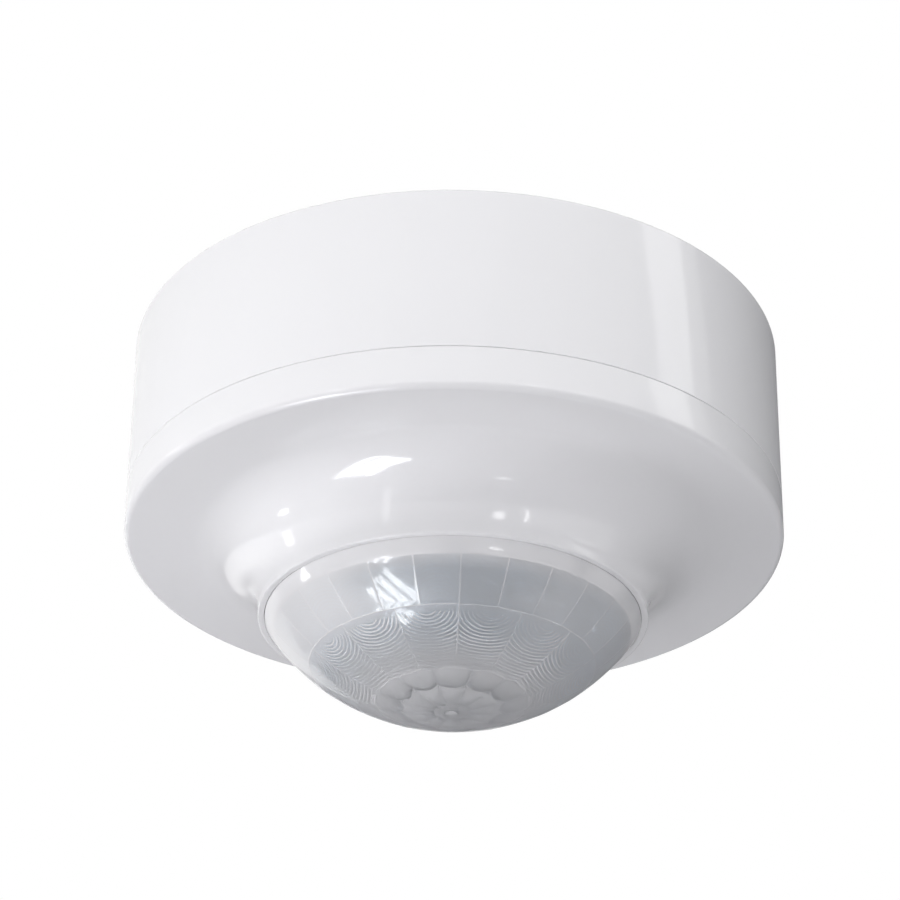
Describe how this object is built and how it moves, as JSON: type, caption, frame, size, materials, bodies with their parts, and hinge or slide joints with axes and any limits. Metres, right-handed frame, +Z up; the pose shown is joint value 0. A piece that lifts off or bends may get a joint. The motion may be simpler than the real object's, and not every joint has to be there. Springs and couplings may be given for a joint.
{
  "type": "motion sensor",
  "caption": "Round ceiling motion sensor: a white drum base with its electronics, and a pull-off flared front cover that carries a milky faceted dome lens.",
  "frame": {"origin": "centre of the flat back of the base, on the ceiling plane", "axes": "+Z up into the ceiling, so the lens points along -Z; +X along the line of the two ceiling screws; +Y towards the cable entry"},
  "size_m": [0.115, 0.115, 0.0684],
  "materials": {
    "housing_white": "glossy moulded ABS",
    "lens_milk": "milky translucent polyethylene, faceted inside",
    "grommet_rubber": "soft moulded rubber",
    "board_green": "solder-masked glass laminate",
    "screw_steel": "zinc plated",
    "terminal_grey": "moulded polyamide",
    "clamp_brass": "plated brass",
    "relay_blue": "moulded relay case",
    "film_yellow": "potted plastic box",
    "sleeve_dark": "shrink sleeve on an aluminium can",
    "varistor_blue": "dipped epoxy coat",
    "fuse_brown": "moulded fuse body",
    "moulded_black": "moulded epoxy",
    "resistor_tan": "lacquered, with colour bands",
    "lead_tin": "tinned",
    "nylon_white": "moulded nylon",
    "can_nickel": "nickel plated",
    "window_dark": "coated silicon filter",
    "cell_ceramic": "clear-coated, with a winding track",
    "lamp_red": "tinted clear epoxy",
    "trimmer_blue": "moulded trimmer case",
    "knob_white": "moulded nylon"
  },
  "bodies": {
    "base": {"base_housing": "housing_white", "cable_grommet": "grommet_rubber", "main_board": "board_green", "main_board_screws": "screw_steel", "terminal_block": "terminal_grey", "terminal_clamps": "clamp_brass", "terminal_screws": "screw_steel", "relay": "relay_blue", "film_capacitor": "film_yellow", "smoothing_capacitors": "sleeve_dark", "varistor": "varistor_blue", "fuse": "fuse_brown", "rectifier_diodes": "moulded_black", "resistors": "resistor_tan", "relay_driver": "moulded_black", "component_leads": "lead_tin", "solder_joints": "lead_tin", "board_pillars": "nylon_white", "sensor_board": "board_green", "sensor_board_screws": "screw_steel", "link_strips": "moulded_black", "link_pins": "clamp_brass", "heat_sensor_spacer": "nylon_white", "heat_sensor_can": "can_nickel", "heat_sensor_window": "window_dark", "heat_sensor_leads": "clamp_brass", "light_cell": "cell_ceramic", "indicator_lamp": "lamp_red", "control_chip": "moulded_black", "chip_legs": "lead_tin", "sensitivity_trimmer": "trimmer_blue", "time_trimmer": "trimmer_blue", "dusk_trimmer": "trimmer_blue"},
    "front": {"front_cover": "housing_white", "lens": "lens_milk", "lens_retainer": "nylon_white", "retainer_screws": "screw_steel"},
    "sensitivity_adjuster": {"sensitivity_knob": "knob_white"},
    "time_adjuster": {"time_knob": "knob_white"},
    "dusk_adjuster": {"dusk_knob": "knob_white"}
  },
  "joints": [
    {"name": "cover_pull", "type": "slide", "parent": "base", "child": "front", "axis": [0, 0, -1], "range_m": [0, 0.1]},
    {"name": "sensitivity_turn", "type": "hinge", "parent": "base", "child": "sensitivity_adjuster", "pos_m": [-0.01106, -0.00774, -0.039], "axis": [0, 0, -1], "range_deg": [-135, 135]},
    {"name": "time_turn", "type": "hinge", "parent": "base", "child": "time_adjuster", "pos_m": [0, -0.0135, -0.039], "axis": [0, 0, -1], "range_deg": [-135, 135]},
    {"name": "dusk_turn", "type": "hinge", "parent": "base", "child": "dusk_adjuster", "pos_m": [0.01106, -0.00774, -0.039], "axis": [0, 0, -1], "range_deg": [-135, 135]}
  ]
}
